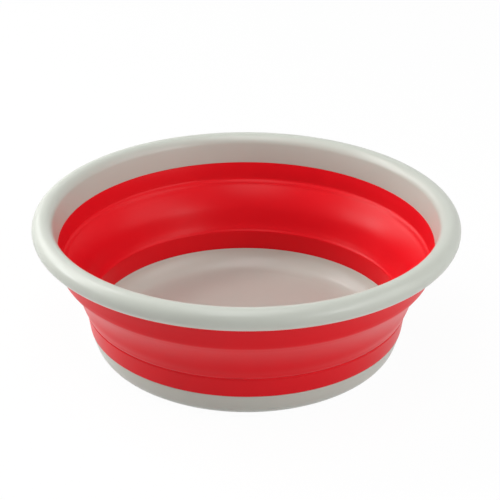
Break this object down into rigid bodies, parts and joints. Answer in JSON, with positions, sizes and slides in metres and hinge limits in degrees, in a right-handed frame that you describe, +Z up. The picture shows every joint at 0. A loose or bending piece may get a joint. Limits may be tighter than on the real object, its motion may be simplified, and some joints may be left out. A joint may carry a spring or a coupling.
{
  "type": "collapsible wash basin",
  "caption": "Round wash basin that folds flat: a hard rolled rim and a hard base joined by a soft folding wall whose middle band turns inside out when the rim is pushed down.",
  "frame": {"origin": "middle of the surface the basin stands on, under the centre of its base", "axes": "+Z up along the basin's axis, which is also the line the rim moves along; X and Y lie across the basin, which is the same all round"},
  "size_m": [0.38, 0.38, 0.1286],
  "materials": {
    "hard_grey": "warm light grey polypropylene, satin",
    "soft_red": "bright red thermoplastic elastomer, satin"
  },
  "bodies": {
    "base": {"base_tray": "hard_grey", "lower_wall_band": "soft_red"},
    "middle": {"middle_wall_band": "soft_red"},
    "rim": {"rim_ring": "hard_grey", "upper_wall_band": "soft_red"}
  },
  "joints": [
    {"name": "collapse", "type": "slide", "parent": "base", "child": "rim", "axis": [0, 0, -1], "range_m": [0, 0.078]},
    {"name": "middle_fold", "type": "slide", "parent": "base", "child": "middle", "axis": [0, 0, -1], "range_m": [0, 0.039]}
  ],
  "couplings": [
    {"joint": "middle_fold", "follows": "collapse", "ratio": 0.5}
  ]
}
